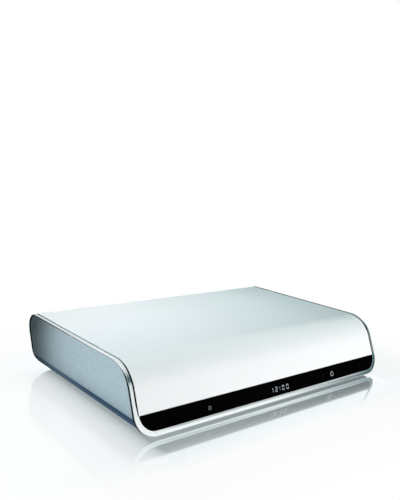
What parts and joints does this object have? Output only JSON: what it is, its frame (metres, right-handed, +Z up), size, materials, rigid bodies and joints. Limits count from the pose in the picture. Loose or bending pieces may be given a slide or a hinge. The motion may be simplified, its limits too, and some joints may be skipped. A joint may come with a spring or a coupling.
{
  "type": "digital tv receiver",
  "caption": "Low set-top box with a wrapped-over white cover, polished trim frame, black front window with a sprung power key, and a recessed panel of rear sockets.",
  "frame": {"origin": "middle of the footprint, on the table under the feet", "axes": "+X along the width to the viewer's right from the front, the front faces -Y, +Z up"},
  "size_m": [0.22, 0.1478, 0.041],
  "materials": {
    "cover_white": "satin pearl white",
    "trim_chrome": "bright plated plastic",
    "tub_silver": "fine-grained silver grey",
    "window_black": "gloss black",
    "dark_plastic": "fine matt",
    "ivory_plastic": "matt",
    "board_green": "lacquered board",
    "screw_steel": "zinc plated",
    "lead_grey": "soft insulation",
    "sink_aluminium": "plain",
    "core_ferrite": "ground ferrite",
    "winding_copper": "taped winding",
    "jack_orange": "matt",
    "socket_nickel": "nickel plated",
    "foot_rubber": "matt"
  },
  "bodies": {
    "receiver": {"top_cover": "cover_white", "trim_frame": "trim_chrome", "base_tub": "tub_silver", "front_strip": "window_black", "front_carrier": "dark_plastic", "power_switch": "dark_plastic", "front_board": "board_green", "ir_sensor": "dark_plastic", "display_module": "ivory_plastic", "front_screws": "screw_steel", "link_sockets": "ivory_plastic", "ribbon_cable": "lead_grey", "main_board": "board_green", "psu_board": "board_green", "board_screws": "screw_steel", "decoder_chip": "dark_plastic", "heat_sink": "sink_aluminium", "board_capacitors": "sink_aluminium", "bulk_capacitor": "sink_aluminium", "transformer_core": "core_ferrite", "transformer_winding": "winding_copper", "psu_heat_sink": "sink_aluminium", "lead_plugs": "ivory_plastic", "power_lead": "lead_grey", "scart_shells": "dark_plastic", "scart_inserts": "dark_plastic", "audio_jack_body": "jack_orange", "audio_jack_sleeve": "socket_nickel", "mains_inlet": "dark_plastic", "inlet_pins": "socket_nickel", "tuner_can": "socket_nickel", "aerial_in_shell": "socket_nickel", "aerial_in_contact": "ivory_plastic", "aerial_out_shell": "socket_nickel", "aerial_out_contact": "ivory_plastic", "rear_panel": "dark_plastic", "case_screws": "screw_steel", "foot_front_left": "foot_rubber", "foot_rear_left": "foot_rubber", "foot_front_right": "foot_rubber", "foot_rear_right": "foot_rubber"},
    "key": {"power_key": "window_black"},
    "plunger": {"switch_plunger": "ivory_plastic"}
  },
  "joints": [
    {"name": "key_press", "type": "slide", "parent": "receiver", "child": "key", "axis": [0, 0.9336, -0.3584], "range_m": [0, 0.0004], "stiffness_N_per_m": 4000, "springref_m": -0.0002},
    {"name": "plunger_press", "type": "slide", "parent": "receiver", "child": "plunger", "axis": [0, 0.9336, -0.3584], "range_m": [0, 0.0004]}
  ],
  "couplings": [
    {"joint": "plunger_press", "follows": "key_press", "ratio": 1}
  ]
}
